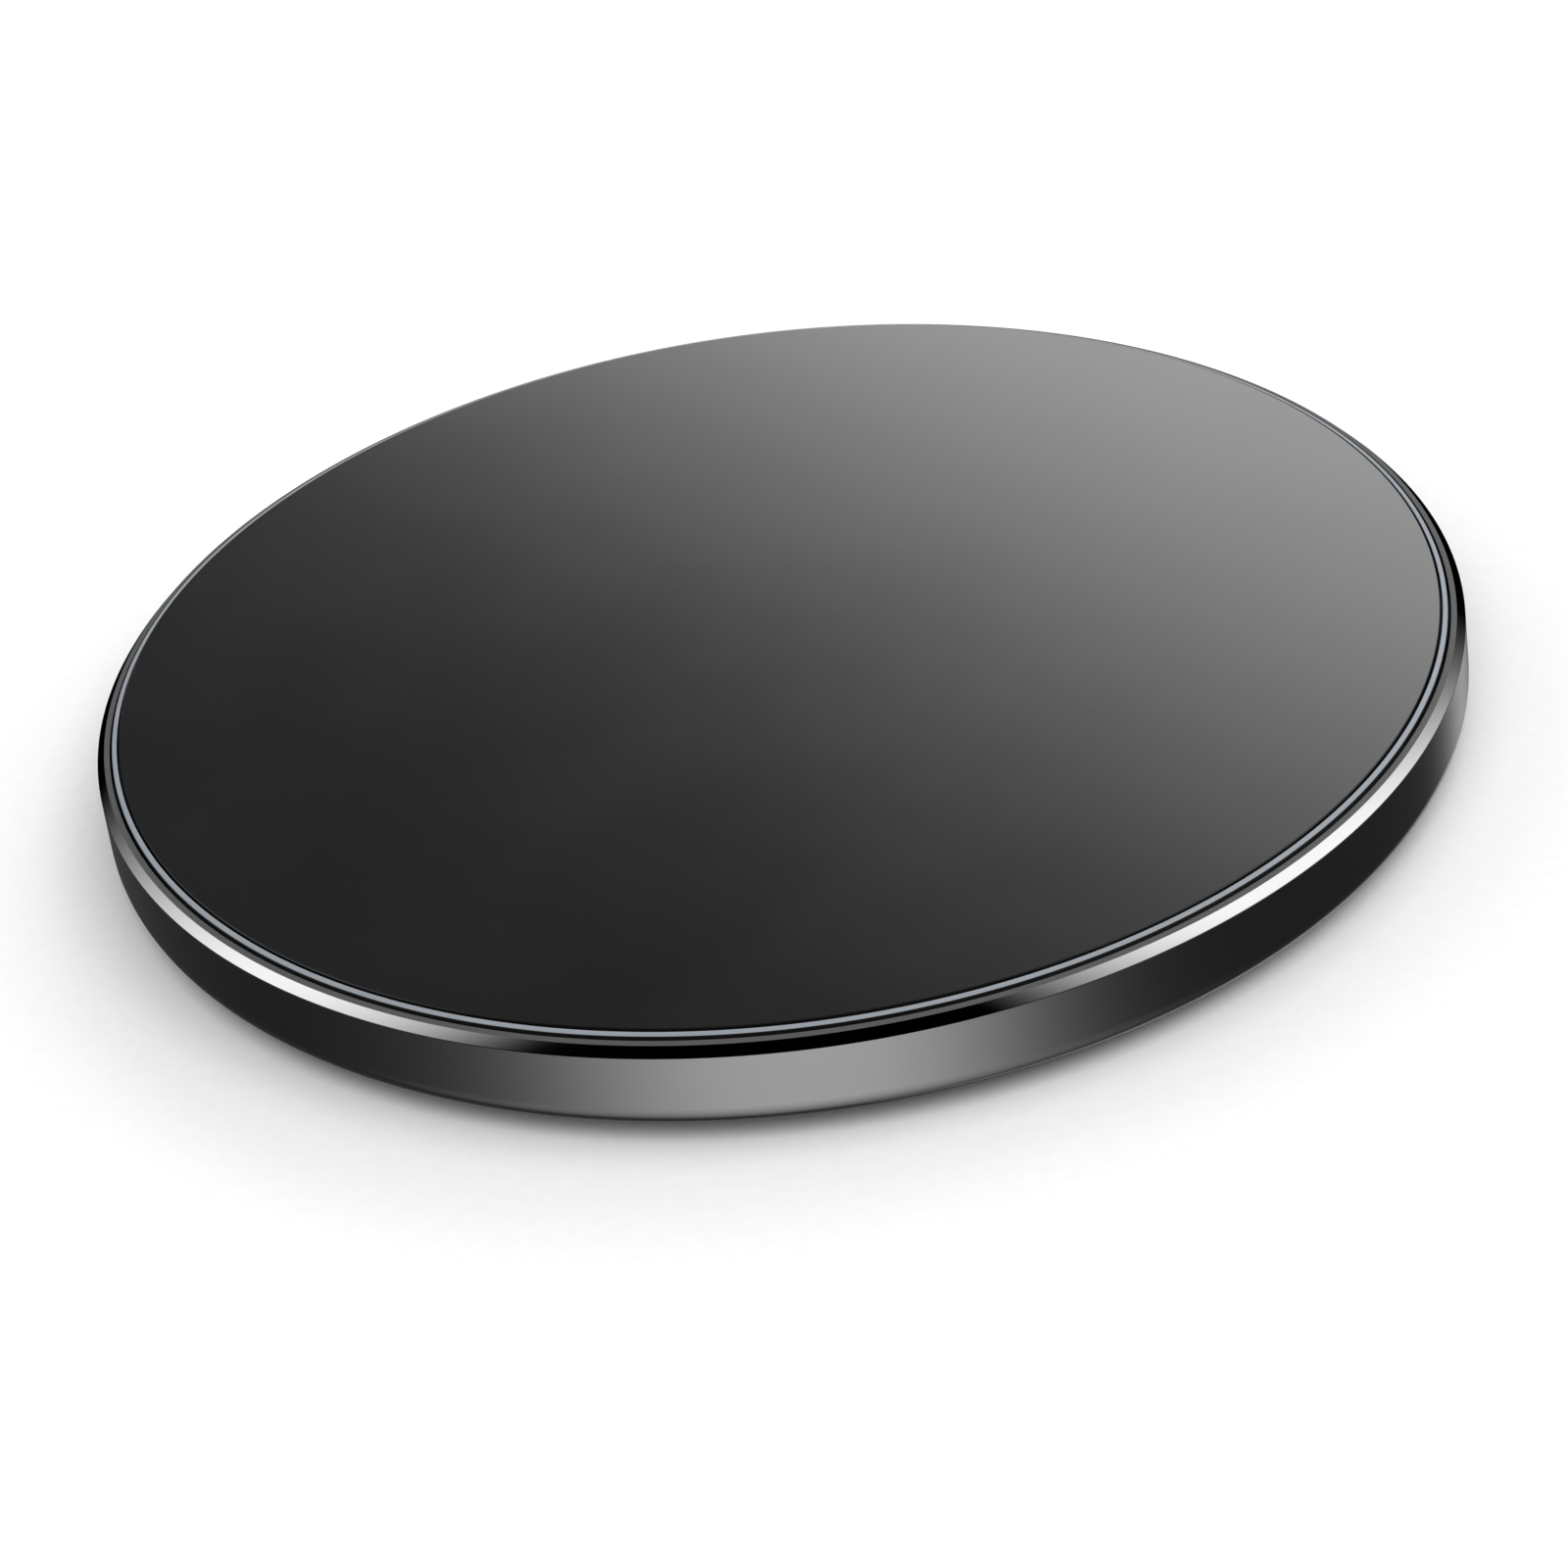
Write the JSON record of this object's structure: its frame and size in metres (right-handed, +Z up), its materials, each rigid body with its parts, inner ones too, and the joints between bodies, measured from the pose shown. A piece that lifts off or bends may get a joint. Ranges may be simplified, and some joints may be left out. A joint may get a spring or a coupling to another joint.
{
  "type": "wireless charging pad",
  "caption": "Slim round wireless charging pad: glass top, thin light ring, turned aluminium frame with a bright chamfer, rear USB-C inlet and a soft anti-slip foot.",
  "frame": {"origin": "centre of the plane in which the foot ring meets the table", "axes": "+Z up through the charging surface, +Y out of the power inlet, +X to the right seen from the front"},
  "size_m": [0.1, 0.1, 0.008],
  "materials": {
    "panel_glass": "smooth black back-painted glass",
    "adhesive_film": "thin dark double-sided film",
    "light_guide": "frosted blue-grey translucent plastic, unlit",
    "frame_metal": "dark satin anodised side wall with a diamond-cut bright chamfer",
    "cover_plastic": "fine-textured black moulding",
    "foot_silicone": "soft matte silicone",
    "screw_steel": "zinc-plated steel",
    "board_laminate": "green solder mask",
    "shell_steel": "bright drawn stainless steel",
    "black_nylon": "black glass-filled nylon",
    "contact_gold": "gold-plated copper alloy",
    "coil_copper": "enamelled litz copper",
    "ferrite": "matt sintered ferrite",
    "white_plastic": "natural white moulding",
    "amber_film": "amber polyimide film",
    "foam": "closed-cell foam",
    "chip_epoxy": "black moulded epoxy",
    "capacitor_ceramic": "sintered tan ceramic",
    "tinned_metal": "tin-plated",
    "lamp_lens": "yellow phosphor silicone",
    "thermal_silicone": "soft grey-blue gap filler",
    "spreader_metal": "thin rolled aluminium sheet"
  },
  "bodies": {
    "root": {"top_panel": "panel_glass", "panel_adhesive": "adhesive_film", "light_ring": "light_guide", "housing_frame": "frame_metal", "bottom_cover": "cover_plastic", "foot_ring": "foot_silicone", "case_screws": "screw_steel", "main_board": "board_laminate", "board_screws": "screw_steel", "usb_shell": "shell_steel", "usb_tongue": "black_nylon", "usb_contacts": "contact_gold", "charging_coil": "coil_copper", "coil_leads": "coil_copper", "ferrite_disc": "ferrite", "coil_carrier": "white_plastic", "coil_tape": "amber_film", "foam_pad": "foam", "thermistor": "chip_epoxy", "thermistor_leads": "tinned_metal", "controller_chip": "chip_epoxy", "controller_pins": "tinned_metal", "power_transistors": "chip_epoxy", "resonant_capacitors": "capacitor_ceramic", "capacitor_terminals": "tinned_metal", "filter_capacitors": "capacitor_ceramic", "filter_terminals": "tinned_metal", "choke_shield": "ferrite", "choke_core": "ferrite", "chip_resistors": "chip_epoxy", "crystal": "tinned_metal", "status_lights": "white_plastic", "light_lenses": "lamp_lens", "thermal_pad": "thermal_silicone", "heat_spreader": "spreader_metal", "solder_joints": "tinned_metal"}
  },
  "joints": []
}
